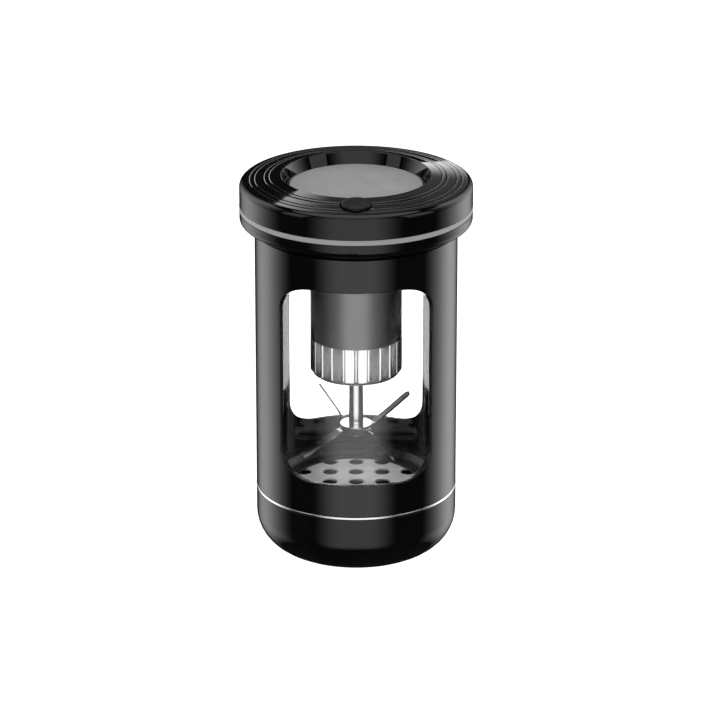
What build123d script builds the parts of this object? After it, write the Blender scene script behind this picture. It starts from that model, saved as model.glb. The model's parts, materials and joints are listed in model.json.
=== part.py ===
"""Hand-held electric grinder: catch cup, sieve, windowed jar, motor lid, four-arm blade.

Millimetres. +Z is up along the axis that every round part shares, and the origin is on that axis
at the surface the grinder stands on. The front of the grinder, with the button, faces -Y.
"""

from build123d import *
from math import asin, cos, degrees, pi, radians, sin
import os

os.makedirs("parts", exist_ok=True)

# ---- driving dimensions ----
TUBE_R = 28.5            # outside of the cup and of the jar
LID_R = 32.7             # outside of the motor lid
SHELL_WALL = 1.45        # black shell of the jar
GLASS_R = 26.95          # outside of the clear tube
GLASS_WALL = 1.65
SLIP = 0.3               # radial gap between pieces that lift apart
SNUG = 0.05              # radial gap between pieces that stay together

# heights of the joints between the pieces
CUP_BOTTOM = 0.3
CUP_TOP = 18.65
JAR_BOTTOM = 19.35
JAR_TOP = 96.0
LID_BOTTOM = 97.5
BAND_LOW = 101.3
BAND_HIGH = 102.9
RIM_TOP = 109.9          # top of the rounded outer rim of the lid
CROWN_TOP = 111.4        # inner lip of the sloped top, the highest point

# catch cup
CUP_CORNER = 11.2
CUP_BORE_R = 23.2
CUP_FLOOR = 2.4
CUP_INNER_CORNER = 9.0
NECK_R = 25.0
NECK_TOP = 20.4
PAD_R = 14.0
PAD_TOP = 1.1
SEAL_GROOVE = (19.6, 20.1)
SEAL_SEAT_R = 24.3

# sieve
LEDGE_TOP = 21.2
SIEVE_TOP = 19.0
SIEVE_THICK = 0.5
SIEVE_R = 21.8
SIEVE_SIGHT_R = 17.5     # open circle of the sieve inside its holder
SIEVE_PITCH = 7.55
SIEVE_HOLE_R = 2.18
HOLDER_R = 22.9
HOLDER_BOTTOM = 17.9

# windows in the shell
WINDOW_LOW = 28.9
WINDOW_HIGH = 86.0
WINDOW_HALF_ANGLE = asin(21.3 / TUBE_R)
WINDOW_CORNER_WIDE = 11.5    # measured along the wall
WINDOW_CORNER_TALL = 8.2
GLASS_LOW = 21.5
GLASS_HIGH = 93.0
GASKET = 0.6

# lid
LID_WALL = 1.5
FLOOR_TOP = 99.0
RIM_ROUND = 1.9
LIP_R = 20.9             # inner edge of the sloped top
RECESS_R = 19.2
RECESS_FLOOR = 107.2
BADGE_R = 18.7
BADGE_TOP = 108.4
SHOULDER_R = 27.4
SPIGOT_R = 25.2
SPIGOT_BORE_R = 23.6
SPIGOT_LOW = 92.6
LID_SEAL = (94.0, 95.2)
LID_SEAL_SEAT_R = 24.0
TONGUE_R = 31.1
TONGUE_BORE_R = 29.9
TONGUE_LOW = 100.2

# button and boards
BUTTON_Y = -25.15
BUTTON_R = 4.12
BUTTON_BORE_R = 4.32
BUTTON_FOOT = 107.0
BUTTON_TRAVEL = 0.5
BUTTON_WELL = BUTTON_FOOT - BUTTON_TRAVEL - SLIP
BUTTON_PROUD = 0.7
BUTTON_FLANGE = 0.9
BOARD_THICK = 1.6
SWITCH_BOARD_LOW = 100.4
CHARGE_BOARD_LOW = 102.3
BOARD_EDGE_R = 29.2
SWITCH_SIDE = 6.0
SWITCH_TOP = 105.6
PLUNGER_R = 1.7
SOCKET = (8.94, 7.3, 3.2)
SOCKET_FACE_Y = 31.5
BATTERY = (30.0, 28.0, 5.2)
BATTERY_Y = 5.0
BATTERY_LOW = 99.3

# motor housing and motor
HOUSING_R = 13.05
HOUSING_BORE_R = 11.85
COLLAR_LOW = 52.7
COLLAR_TOP = 63.9
COLLAR_FLATS = 22
FLANGE_R = 17.0
PARTITION = (64.4, 66.0)
CAN_R = 11.3
CAN_TOP = 89.0
END_CAP_TOP = 91.0
MOTOR_SHAFT_R = 1.1

# shaft and blades
SHAFT_R = 2.15
SHAFT_SHOULDER = 37.2
STUD_R = 1.4
HUB_R = 4.5
BLADE_THICK = 0.6
LOWER_BLADE_Z = 35.6
UPPER_BLADE_Z = 36.2
BLADE_TIP_R = 18.7
BLADE_WIDTH = 2.8
KNEE_R = 5.9             # where an arm bends away from the flat of the hub
ARM_UP = 6.6             # rise of an upturned tip above the hub
ARM_DOWN = 5.0

LID_SLOPE = (CROWN_TOP - RIM_TOP) / (LID_R - RIM_ROUND - LIP_R)


def save(part, name):
    """Label one finished piece and write it to its own file."""
    part.label = name
    export_step(part, f"parts/{name}.step")


def turned(points):
    """A solid of revolution about Z from an outline of (radius, height) points."""
    with BuildPart() as body:
        with BuildSketch(Plane.XZ):
            with BuildLine():
                Polyline(*points, close=True)
            make_face()
        revolve(axis=Axis.Z)
    return body.part


def ring(inner, outer, low, high):
    """A plain ring, or a disc where the inner radius is 0."""
    with BuildPart() as body:
        with BuildSketch(Plane.XY.offset(low)):
            Circle(outer)
            if inner:
                Circle(inner, mode=Mode.SUBTRACT)
        extrude(amount=high - low)
    return body.part


def sloped_z(radius):
    """Height of the lid's sloped top at a radius."""
    return CROWN_TOP - LID_SLOPE * (radius - LIP_R)


# ==== plain rings and discs: name, inner radius, outer radius, bottom, top ====
COLLAR_BORE_R = 11.65
BUSH_R = 4.0
BUSH_TOP = 56.2
SHELL_BORE_R = TUBE_R - SHELL_WALL
RINGS = (
    ("foot_pad", 0, PAD_R, 0, PAD_TOP),
    ("base_seal", SEAL_SEAT_R, SPIGOT_R, *SEAL_GROOVE),
    ("sieve_retainer", 20.2, SIEVE_R, HOLDER_BOTTOM, SIEVE_TOP - SIEVE_THICK),
    ("lower_ring", NECK_R + SLIP, GLASS_R, JAR_BOTTOM, GLASS_LOW - GASKET),
    ("lower_gasket", NECK_R + 0.4, GLASS_R - SNUG, GLASS_LOW - GASKET, GLASS_LOW),
    ("glass_tube", GLASS_R - GLASS_WALL, GLASS_R, GLASS_LOW, GLASS_HIGH),
    ("upper_gasket", NECK_R + 0.5, GLASS_R - SNUG, GLASS_HIGH, GLASS_HIGH + GASKET),
    ("upper_ring", SPIGOT_R + SLIP, GLASS_R, GLASS_HIGH + GASKET, JAR_TOP),
    ("lid_seal", LID_SEAL_SEAT_R, SPIGOT_R + 0.2, *LID_SEAL),
    ("shaft_seal", SHAFT_R + SNUG, 6.0, BUSH_TOP, BUSH_TOP + 1.0),
    ("blade_washer", STUD_R + SNUG, HUB_R, UPPER_BLADE_Z + BLADE_THICK, SHAFT_SHOULDER),
    ("motor_shaft", 0, MOTOR_SHAFT_R, 59.9, 93.0),
    ("commutator", MOTOR_SHAFT_R + SNUG, 3.2, 84.0, 88.0),
)
for ring_name, inner_r, outer_r, z_low, z_high in RINGS:
    save(ring(inner_r, outer_r, z_low, z_high), ring_name)

# ==== base: catch cup that the grinder stands on ====
with BuildPart() as base_cup:
    with BuildSketch(Plane.XZ):
        with BuildLine():
            corner_z = CUP_BOTTOM + CUP_CORNER
            flat_r = TUBE_R - CUP_CORNER
            inner_z = CUP_FLOOR + CUP_INNER_CORNER
            inner_r = CUP_BORE_R - CUP_INNER_CORNER
            Polyline((0, CUP_FLOOR), (0, PAD_TOP), (PAD_R + 0.1, PAD_TOP), (PAD_R + 0.1, CUP_BOTTOM),
                     (flat_r, CUP_BOTTOM))
            RadiusArc((flat_r, CUP_BOTTOM), (TUBE_R, corner_z), -CUP_CORNER)
            Polyline((TUBE_R, corner_z), (TUBE_R, CUP_TOP), (NECK_R, CUP_TOP), (NECK_R, SEAL_GROOVE[0]),
                     (SEAL_SEAT_R, SEAL_GROOVE[0]), (SEAL_SEAT_R, SEAL_GROOVE[1]),
                     (NECK_R, SEAL_GROOVE[1]), (NECK_R, NECK_TOP), (CUP_BORE_R, NECK_TOP),
                     (CUP_BORE_R, inner_z))
            RadiusArc((CUP_BORE_R, inner_z), (inner_r, CUP_FLOOR), CUP_INNER_CORNER)
            Line((inner_r, CUP_FLOOR), (0, CUP_FLOOR))
        make_face()
    revolve(axis=Axis.Z)
save(base_cup.part, "base_cup")

# bright ring in the seam between cup and jar
with BuildPart() as trim_ring:
    with BuildSketch(Plane.XY.offset(CUP_TOP)):
        Circle(TUBE_R + SNUG)
        Circle(NECK_R + 0.1, mode=Mode.SUBTRACT)
    extrude(amount=JAR_BOTTOM - CUP_TOP)
    fillet(trim_ring.edges().filter_by(GeomType.CIRCLE).sort_by(SortBy.RADIUS)[-2:], 0.15)
save(trim_ring.part, "trim_ring")

# ==== sieve: dished holder with a perforated steel plate under it ====
save(turned([
    (SIEVE_SIGHT_R, SIEVE_TOP), (SIEVE_SIGHT_R, SIEVE_TOP + 0.35), (20.8, 19.6), (22.0, 20.2), (22.7, 21.0),
    (23.2, LEDGE_TOP), (NECK_R, LEDGE_TOP), (NECK_R, NECK_TOP), (HOLDER_R, NECK_TOP),
    (HOLDER_R, HOLDER_BOTTOM), (SIEVE_R + 0.1, HOLDER_BOTTOM), (SIEVE_R + 0.1, SIEVE_TOP),
]), "sieve_holder")

reach = int((SIEVE_SIGHT_R + SIEVE_HOLE_R) // SIEVE_PITCH)
hole_places = [
    (column * SIEVE_PITCH, row * SIEVE_PITCH)
    for column in range(-reach, reach + 1)
    for row in range(-reach, reach + 1)
    if column ** 2 + row ** 2 < 2 * reach ** 2
]
with BuildPart() as sieve_plate:
    with BuildSketch(Plane.XY.offset(SIEVE_TOP - SIEVE_THICK)):
        Circle(SIEVE_R)
        with Locations(*hole_places):
            Circle(SIEVE_HOLE_R, mode=Mode.SUBTRACT)
    extrude(amount=SIEVE_THICK)
save(sieve_plate.part, "sieve_plate")

# ==== jar: black shell with a window at the front and one at the back ====
# A window's sides are cut radially. Its corners are wide on the unrolled shell, so seen from the
# front they look nearly round.
window_half = TUBE_R * sin(WINDOW_HALF_ANGLE)
corner_wide = window_half - TUBE_R * sin(WINDOW_HALF_ANGLE - WINDOW_CORNER_WIDE / TUBE_R)
corner_x = window_half - corner_wide
side_azimuth = -pi / 2 - WINDOW_HALF_ANGLE
side_plane = Plane(origin=(0, 0, 0), x_dir=(cos(side_azimuth), sin(side_azimuth), 0),
                   z_dir=(sin(side_azimuth), -cos(side_azimuth), 0))
with BuildPart() as window_slot:
    with BuildSketch(side_plane):
        with Locations((TUBE_R - 1, (WINDOW_LOW + WINDOW_HIGH) / 2)):
            Rectangle(6, WINDOW_HIGH - WINDOW_LOW)
    revolve(axis=Axis.Z, revolution_arc=2 * degrees(WINDOW_HALF_ANGLE))
    with BuildSketch(Plane.XZ):
        for side in (-1, 1):
            for corner_z in (WINDOW_LOW + WINDOW_CORNER_TALL, WINDOW_HIGH - WINDOW_CORNER_TALL):
                with Locations((side * corner_x, corner_z)):
                    Ellipse(corner_wide, WINDOW_CORNER_TALL)
        with Locations((0, (WINDOW_LOW + WINDOW_HIGH) / 2)):
            Rectangle(2 * corner_x, WINDOW_HIGH - WINDOW_LOW)
            Rectangle(2 * window_half, WINDOW_HIGH - WINDOW_LOW - 2 * WINDOW_CORNER_TALL)
    extrude(amount=TUBE_R + 3, mode=Mode.INTERSECT)
with BuildPart() as body_shell:
    with BuildSketch(Plane.XY.offset(JAR_BOTTOM)):
        Circle(TUBE_R)
        Circle(SHELL_BORE_R, mode=Mode.SUBTRACT)
    extrude(amount=JAR_TOP - JAR_BOTTOM)
    outer_rims = body_shell.edges().filter_by(GeomType.CIRCLE).sort_by(SortBy.RADIUS)[-2:]
    chamfer(outer_rims.sort_by(Axis.Z)[-1], 0.5)
    chamfer(outer_rims.sort_by(Axis.Z)[0], 0.2)
    add(window_slot.part, mode=Mode.SUBTRACT)
    add(window_slot.part, rotation=(0, 0, 180), mode=Mode.SUBTRACT)
save(body_shell.part, "body_shell")

# ==== lid: lower shell with the floor, the shoulder that sits on the jar and the spigot ====
SCREW_R = 1.0
SCREW_HOLE_R = 1.25
SCREW_HEAD = (2.0, 1.6)
LID_SCREW_RING = 20.6
LID_SCREW_ANGLE = 30
LID_SCREW_TIP = 103.5
lid_screw_x = LID_SCREW_RING * cos(radians(LID_SCREW_ANGLE))
lid_screw_y = LID_SCREW_RING * sin(radians(LID_SCREW_ANGLE))
lid_screw_places = [(side * lid_screw_x, end * lid_screw_y) for side in (-1, 1) for end in (-1, 1)]
HOUSING_SCREW_RING = 15.0
HOUSING_SCREW_R = 0.8
HOUSING_SCREW_HEAD = (1.5, 1.0)
HOUSING_SCREW_TIP = 98.6
housing_screws_at = PolarLocations(HOUSING_SCREW_RING, 3, start_angle=90)
POST_R = 1.8
switch_posts = [(-9.0, -16.0), (9.0, -16.0)]
charge_posts = [(-7.0, 24.0), (7.0, 24.0)]
LEAD_X = 3.0
LEAD_Y = -10.2
LEAD_R = 0.45

with BuildPart() as lid_base:
    with BuildSketch(Plane.XZ):
        with BuildLine():
            Polyline((LID_R - 1.8, LID_BOTTOM), (SHOULDER_R, LID_BOTTOM), (SHOULDER_R, JAR_TOP),
                     (SPIGOT_R, JAR_TOP), (SPIGOT_R, LID_SEAL[1]), (LID_SEAL_SEAT_R, LID_SEAL[1]),
                     (LID_SEAL_SEAT_R, LID_SEAL[0]), (SPIGOT_R, LID_SEAL[0]), (SPIGOT_R, SPIGOT_LOW),
                     (SPIGOT_BORE_R - 0.8, SPIGOT_LOW), (SPIGOT_BORE_R - 0.8, LID_BOTTOM),
                     (0, LID_BOTTOM), (0, FLOOR_TOP), (TONGUE_R + SNUG, FLOOR_TOP),
                     (TONGUE_R + SNUG, BAND_LOW), (LID_R, BAND_LOW), (LID_R, LID_BOTTOM + 1.8))
            RadiusArc((LID_R, LID_BOTTOM + 1.8), (LID_R - 1.8, LID_BOTTOM), 1.8)
        make_face()
    revolve(axis=Axis.Z)
    with BuildSketch(Plane.XY.offset(FLOOR_TOP)):
        with Locations(*switch_posts):
            Circle(POST_R)
    extrude(amount=SWITCH_BOARD_LOW - FLOOR_TOP)
    with BuildSketch(Plane.XY.offset(FLOOR_TOP)):
        with Locations(*charge_posts):
            Circle(POST_R)
    extrude(amount=CHARGE_BOARD_LOW - FLOOR_TOP)
    with BuildSketch(Plane.XY.offset(LID_BOTTOM)):
        with Locations(*lid_screw_places):
            Circle(SCREW_HOLE_R)
        with Locations((0, LEAD_Y)):
            SlotOverall(2 * LEAD_X + 3, 2)
    extrude(amount=FLOOR_TOP - LID_BOTTOM, mode=Mode.SUBTRACT)
    with BuildSketch(Plane.XY.offset(LID_BOTTOM)):
        with housing_screws_at:
            Circle(HOUSING_SCREW_R + SNUG)
    extrude(amount=HOUSING_SCREW_TIP - LID_BOTTOM, mode=Mode.SUBTRACT)
save(lid_base.part, "lid_base")

# light band round the side of the lid
save(ring(TONGUE_R + SNUG, LID_R + SNUG, BAND_LOW, BAND_HIGH), "accent_ring")

# ==== lid: upper shell with the sloped top, the round recess and the button's hole ====
BOSS_R = 2.2
SOCKET_Z = CHARGE_BOARD_LOW + BOARD_THICK + SOCKET[2] / 2
with BuildPart() as lid_cover:
    with BuildSketch(Plane.XZ):
        with BuildLine():
            rim_r = LID_R - RIM_ROUND
            rim_low = RIM_TOP - RIM_ROUND
            RadiusArc((LID_R, rim_low), (rim_r, RIM_TOP), -RIM_ROUND)
            Polyline((rim_r, RIM_TOP), (LIP_R, CROWN_TOP), (RECESS_R + 0.3, BADGE_TOP - 0.3),
                     (RECESS_R, RECESS_FLOOR), (0, RECESS_FLOOR), (0, RECESS_FLOOR - LID_WALL),
                     (RECESS_R + LID_WALL, RECESS_FLOOR - LID_WALL),
                     (LIP_R + LID_WALL, CROWN_TOP - 2 * LID_WALL), (rim_r - 0.6, RIM_TOP - LID_WALL),
                     (TONGUE_BORE_R, rim_low - 1), (TONGUE_BORE_R, TONGUE_LOW), (TONGUE_R, TONGUE_LOW),
                     (TONGUE_R, BAND_HIGH), (LID_R, BAND_HIGH), (LID_R, rim_low))
        make_face()
    revolve(axis=Axis.Z)
    with BuildSketch(Plane.XY.offset(FLOOR_TOP)):
        with Locations(*lid_screw_places):
            Circle(BOSS_R)
    extrude(amount=RECESS_FLOOR - 0.7 - FLOOR_TOP)
    with BuildSketch(Plane.XY.offset(FLOOR_TOP)):
        with Locations(*lid_screw_places):
            Circle(SCREW_R + SNUG)
    extrude(amount=LID_SCREW_TIP + 0.5 - FLOOR_TOP, mode=Mode.SUBTRACT)
    with BuildSketch(Plane.XY.offset(BUTTON_WELL)):
        with Locations((0, BUTTON_Y)):
            Circle(BUTTON_BORE_R)
    extrude(amount=CROWN_TOP - BUTTON_WELL, mode=Mode.SUBTRACT)
    with BuildSketch(Plane.XZ.offset(-LID_R - 1)):
        with Locations((0, SOCKET_Z)):
            SlotOverall(SOCKET[0] + 0.4, SOCKET[2] + 0.4)
    extrude(amount=LID_R + 1 - TONGUE_BORE_R + 3, mode=Mode.SUBTRACT)
save(lid_cover.part, "lid_cover")

# satin disc in the recess
with BuildPart() as badge_disc:
    with BuildSketch(Plane.XY.offset(RECESS_FLOOR)):
        Circle(BADGE_R)
    extrude(amount=BADGE_TOP - RECESS_FLOOR)
    fillet(badge_disc.edges().group_by(Axis.Z)[-1], 0.2)
save(badge_disc.part, "badge_disc")

# ==== fasteners: each kind is one node of separate solids ====


def screws(head_low, head, shank_r, tip_z, places):
    """Pan-head screws pointing up: the head, then the shank to the tip."""
    with BuildPart() as group:
        with BuildSketch(Plane.XY.offset(head_low)):
            with places:
                Circle(head[0])
        extrude(amount=head[1])
        with BuildSketch(Plane.XY.offset(head_low + head[1])):
            with places:
                Circle(shank_r)
        extrude(amount=tip_z - head_low - head[1])
    return group.part


lid_screws_at = Locations(*lid_screw_places)
save(screws(LID_BOTTOM - SCREW_HEAD[1], SCREW_HEAD, SCREW_R, LID_SCREW_TIP, lid_screws_at), "lid_screws")
save(screws(JAR_TOP - HOUSING_SCREW_HEAD[1], HOUSING_SCREW_HEAD, HOUSING_SCREW_R, HOUSING_SCREW_TIP - 0.2,
            housing_screws_at), "housing_screws")
MOTOR_SCREW_RING = 7.0
MOTOR_SCREW_R = 0.9
motor_screws_at = PolarLocations(MOTOR_SCREW_RING, 2, start_angle=0)
save(screws(PARTITION[0] - 1.0, (1.7, 1.0), MOTOR_SCREW_R, 67.4, motor_screws_at), "motor_screws")

# ==== motor housing that hangs from the lid, with a fluted metal collar on its end ====
BUSH_BORE_R = 3.0
with BuildPart() as motor_housing:
    with BuildSketch(Plane.XZ):
        with BuildLine():
            Polyline((HOUSING_R, COLLAR_TOP), (HOUSING_R, JAR_TOP), (FLANGE_R, JAR_TOP),
                     (FLANGE_R, LID_BOTTOM), (HOUSING_BORE_R, LID_BOTTOM), (HOUSING_BORE_R, PARTITION[1]),
                     (BUSH_BORE_R + 0.3, PARTITION[1]), (BUSH_BORE_R + 0.3, PARTITION[0]),
                     (COLLAR_BORE_R - 1.2, PARTITION[0]), (COLLAR_BORE_R - 1.2, COLLAR_TOP - 2.5),
                     (COLLAR_BORE_R - SNUG, COLLAR_TOP - 2.5), (COLLAR_BORE_R - SNUG, COLLAR_TOP),
                     close=True)
        make_face()
    revolve(axis=Axis.Z)
    with BuildSketch(Plane.XY.offset(JAR_TOP)):
        with housing_screws_at:
            Circle(HOUSING_SCREW_R + SNUG)
    extrude(amount=LID_BOTTOM - JAR_TOP, mode=Mode.SUBTRACT)
    with BuildSketch(Plane.XY.offset(PARTITION[0])):
        with motor_screws_at:
            Circle(MOTOR_SCREW_R + SNUG)
    extrude(amount=PARTITION[1] - PARTITION[0], mode=Mode.SUBTRACT)
save(motor_housing.part, "motor_housing")

BOSS_TOP = BUSH_TOP
COLLAR_PLATE = 1.5
with BuildPart() as fluted_collar:
    with BuildSketch(Plane.XY.offset(COLLAR_LOW)):
        RegularPolygon(HOUSING_R, COLLAR_FLATS)
    extrude(amount=COLLAR_TOP - COLLAR_LOW)
    chamfer(fluted_collar.faces().sort_by(Axis.Z)[0].edges(), 1.2)
    with BuildSketch(Plane.XY.offset(COLLAR_LOW + COLLAR_PLATE)):
        Circle(COLLAR_BORE_R)
        Circle(BUSH_R + 2, mode=Mode.SUBTRACT)
    extrude(amount=COLLAR_TOP - COLLAR_LOW - COLLAR_PLATE, mode=Mode.SUBTRACT)
    with BuildSketch(Plane.XY.offset(BOSS_TOP)):
        Circle(BUSH_R + 2.5)
    extrude(amount=COLLAR_TOP - BOSS_TOP, mode=Mode.SUBTRACT)
    with BuildSketch(Plane.XY.offset(COLLAR_LOW)):
        Circle(BUSH_R + SNUG)
    extrude(amount=BOSS_TOP - COLLAR_LOW, mode=Mode.SUBTRACT)
save(fluted_collar.part, "fluted_collar")

save(ring(SHAFT_R + SNUG, BUSH_R, COLLAR_LOW + 0.2, BUSH_TOP), "shaft_bush")

# ==== motor: can with magnets, plastic end cap, bushes, brushes, terminals and leads ====
with BuildPart() as motor_can:
    with BuildSketch(Plane.XY.offset(PARTITION[1])):
        Circle(CAN_R)
        Circle(BUSH_BORE_R + SNUG, mode=Mode.SUBTRACT)
    extrude(amount=CAN_TOP - PARTITION[1])
    with BuildSketch(Plane.XY.offset(PARTITION[1] + 0.8)):
        Circle(CAN_R - 0.7)
    extrude(amount=CAN_TOP - PARTITION[1], mode=Mode.SUBTRACT)
    with BuildSketch(Plane.XY.offset(PARTITION[1])):
        with motor_screws_at:
            Circle(MOTOR_SCREW_R + SNUG)
    extrude(amount=0.8, mode=Mode.SUBTRACT)
save(motor_can.part, "motor_can")

UPPER_BUSH_R = 2.6
save(ring(UPPER_BUSH_R + SNUG, CAN_R, CAN_TOP, END_CAP_TOP), "motor_end_cap")

with BuildPart() as motor_bushes:
    for bush_r, bush_low, bush_high in ((BUSH_BORE_R, 64.6, 67.6), (UPPER_BUSH_R, CAN_TOP - 0.5, 92.0)):
        with BuildSketch(Plane.XY.offset(bush_low)):
            Circle(bush_r)
            Circle(MOTOR_SHAFT_R + SNUG, mode=Mode.SUBTRACT)
        extrude(amount=bush_high - bush_low)
save(motor_bushes.part, "motor_bushes")

MAGNET = (8.0, 10.5)
with BuildPart() as field_magnets:
    with BuildSketch(Plane.XY.offset(68.0)):
        Circle(MAGNET[1])
        Circle(MAGNET[0], mode=Mode.SUBTRACT)
        Rectangle(2 * MAGNET[1], MAGNET[0], mode=Mode.SUBTRACT)
    extrude(amount=17)
save(field_magnets.part, "field_magnets")

with BuildPart() as carbon_brushes:
    with Locations((-4.4, 0, 86.0), (4.4, 0, 86.0)):
        Box(2.2, 1.6, 2.4)
save(carbon_brushes.part, "carbon_brushes")

lead_places = [(-LEAD_X, LEAD_Y), (LEAD_X, LEAD_Y)]
TERMINAL_TOP = 93.2
with BuildPart() as brush_terminals:
    with BuildSketch(Plane.XY.offset(END_CAP_TOP)):
        with Locations(*lead_places):
            Rectangle(2.0, 0.5)
    extrude(amount=TERMINAL_TOP - END_CAP_TOP)
save(brush_terminals.part, "brush_terminals")

BOARD_TOP = SWITCH_BOARD_LOW + BOARD_THICK
with BuildPart() as motor_leads:
    for lead_x in (-LEAD_X, LEAD_X):
        with BuildLine() as route:
            FilletPolyline((lead_x, LEAD_Y, TERMINAL_TOP), (lead_x, LEAD_Y, 104.0), (lead_x, -14.6, 104.0),
                           (lead_x, -14.6, BOARD_TOP), radius=1.4)
        with BuildSketch(Plane(origin=(lead_x, LEAD_Y, TERMINAL_TOP))):
            Circle(LEAD_R)
        sweep(path=route.line)
save(motor_leads.part, "motor_leads")

# ==== power: flat cell on a foam pad, charge board and socket ====
with BuildPart() as battery_cell:
    with BuildSketch(Plane.XY.offset(BATTERY_LOW)):
        with Locations((0, BATTERY_Y)):
            RectangleRounded(BATTERY[0], BATTERY[1], 2)
    extrude(amount=BATTERY[2])
    fillet(battery_cell.edges().filter_by(Plane.XY), 0.8)
save(battery_cell.part, "battery_cell")

with BuildPart() as battery_pad:
    with BuildSketch(Plane.XY.offset(BATTERY_LOW + BATTERY[2])):
        with Locations((0, BATTERY_Y)):
            Rectangle(BATTERY[0] - 6, BATTERY[1] - 6)
    extrude(amount=RECESS_FLOOR - LID_WALL - BATTERY_LOW - BATTERY[2])
save(battery_pad.part, "battery_pad")

with BuildPart() as charge_board:
    with BuildSketch(Plane.XY.offset(CHARGE_BOARD_LOW)):
        Circle(BOARD_EDGE_R)
        with Locations((0, 25.6)):
            Rectangle(18, 8, mode=Mode.INTERSECT)
    extrude(amount=BOARD_THICK)
save(charge_board.part, "charge_board")

with BuildPart() as usb_c_socket:
    with BuildSketch(Plane.XZ.offset(-SOCKET_FACE_Y)):
        with Locations((0, SOCKET_Z)):
            SlotOverall(SOCKET[0], SOCKET[2])
    extrude(amount=SOCKET[1])
    with BuildSketch(Plane.XZ.offset(-SOCKET_FACE_Y)):
        with Locations((0, SOCKET_Z)):
            SlotOverall(SOCKET[0] - 0.6, SOCKET[2] - 0.6)
            Rectangle(6.7, 0.7, mode=Mode.SUBTRACT)
    extrude(amount=SOCKET[1] - 1, mode=Mode.SUBTRACT)
save(usb_c_socket.part, "usb_c_socket")

# ==== switch under the button ====
with BuildPart() as switch_board:
    with BuildSketch(Plane.XY.offset(SWITCH_BOARD_LOW)):
        Circle(BOARD_EDGE_R)
        with Locations((0, -21.5)):
            Rectangle(24, 18, mode=Mode.INTERSECT)
    extrude(amount=BOARD_THICK)
save(switch_board.part, "switch_board")

with BuildPart() as tact_switch:
    with BuildSketch(Plane.XY.offset(BOARD_TOP)):
        with Locations((0, BUTTON_Y)):
            Rectangle(SWITCH_SIDE, SWITCH_SIDE)
    extrude(amount=SWITCH_TOP - BOARD_TOP)
    with BuildSketch(Plane.XY.offset(BOARD_TOP + 0.8)):
        with Locations((0, BUTTON_Y)):
            Circle(PLUNGER_R + 0.1)
    extrude(amount=SWITCH_TOP - BOARD_TOP, mode=Mode.SUBTRACT)
save(tact_switch.part, "tact_switch")

with BuildPart() as switch_plunger:
    with BuildSketch(Plane.XY.offset(BOARD_TOP + 1.6)):
        with Locations((0, BUTTON_Y)):
            Circle(PLUNGER_R)
    extrude(amount=BUTTON_FOOT - BOARD_TOP - 1.6)
save(switch_plunger.part, "switch_plunger")

# button: a domed cap whose top follows the slope of the lid, on a foot with an ear at each side
with BuildPart() as button_cap:
    with BuildSketch(Plane.XY.offset(BUTTON_FOOT)):
        with Locations((0, BUTTON_Y)):
            Circle(BUTTON_R)
    extrude(amount=CROWN_TOP + 1 - BUTTON_FOOT)
    slope = Plane(origin=(0, BUTTON_Y, sloped_z(-BUTTON_Y) + BUTTON_PROUD),
                  x_dir=(1, 0, 0), z_dir=(0, -LID_SLOPE, 1))
    split(bisect_by=slope, keep=Keep.BOTTOM)
    fillet(button_cap.faces().sort_by(Axis.Z)[-1].edges(), 0.6)
    with BuildSketch(Plane.XY.offset(BUTTON_FOOT)):
        with Locations((0, BUTTON_Y)):
            Circle(BUTTON_R + 0.7)
            Rectangle(2 * BUTTON_R + 2, 2 * BUTTON_R - 2, mode=Mode.INTERSECT)
    extrude(amount=BUTTON_FLANGE)
save(button_cap.part, "button_cap")

# ==== rotor: armature, coupling, drive shaft, two crossed blades and their nut ====
with BuildPart() as armature:
    with BuildSketch(Plane.XY.offset(69.0)):
        Circle(6.6)
        Circle(MOTOR_SHAFT_R + SNUG, mode=Mode.SUBTRACT)
        with PolarLocations(5.6, 5):
            Rectangle(3.2, 1.0, mode=Mode.SUBTRACT)
    extrude(amount=14)
save(armature.part, "armature")

COUPLING_LOW = 57.8
COUPLING_TOP = 63.6
SHAFT_TOP = 59.8
with BuildPart() as shaft_coupling:
    with BuildSketch(Plane.XY.offset(COUPLING_LOW)):
        Circle(4.0)
        Circle(MOTOR_SHAFT_R + SNUG, mode=Mode.SUBTRACT)
    extrude(amount=COUPLING_TOP - COUPLING_LOW)
    with BuildSketch(Plane.XY.offset(COUPLING_LOW)):
        Circle(SHAFT_R + SNUG)
    extrude(amount=SHAFT_TOP - COUPLING_LOW, mode=Mode.SUBTRACT)
save(shaft_coupling.part, "shaft_coupling")

NUT_LOW = 33.9
STUD_END = NUT_LOW - 0.5
save(turned([(0, STUD_END), (STUD_R, STUD_END), (STUD_R, SHAFT_SHOULDER), (SHAFT_R, SHAFT_SHOULDER),
             (SHAFT_R, SHAFT_TOP), (0, SHAFT_TOP)]), "drive_shaft")

with BuildPart() as blade_nut:
    with BuildSketch(Plane.XY.offset(NUT_LOW)):
        RegularPolygon(3.0, 6)
        Circle(STUD_R + SNUG, mode=Mode.SUBTRACT)
    extrude(amount=LOWER_BLADE_Z - NUT_LOW)
save(blade_nut.part, "blade_nut")


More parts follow.
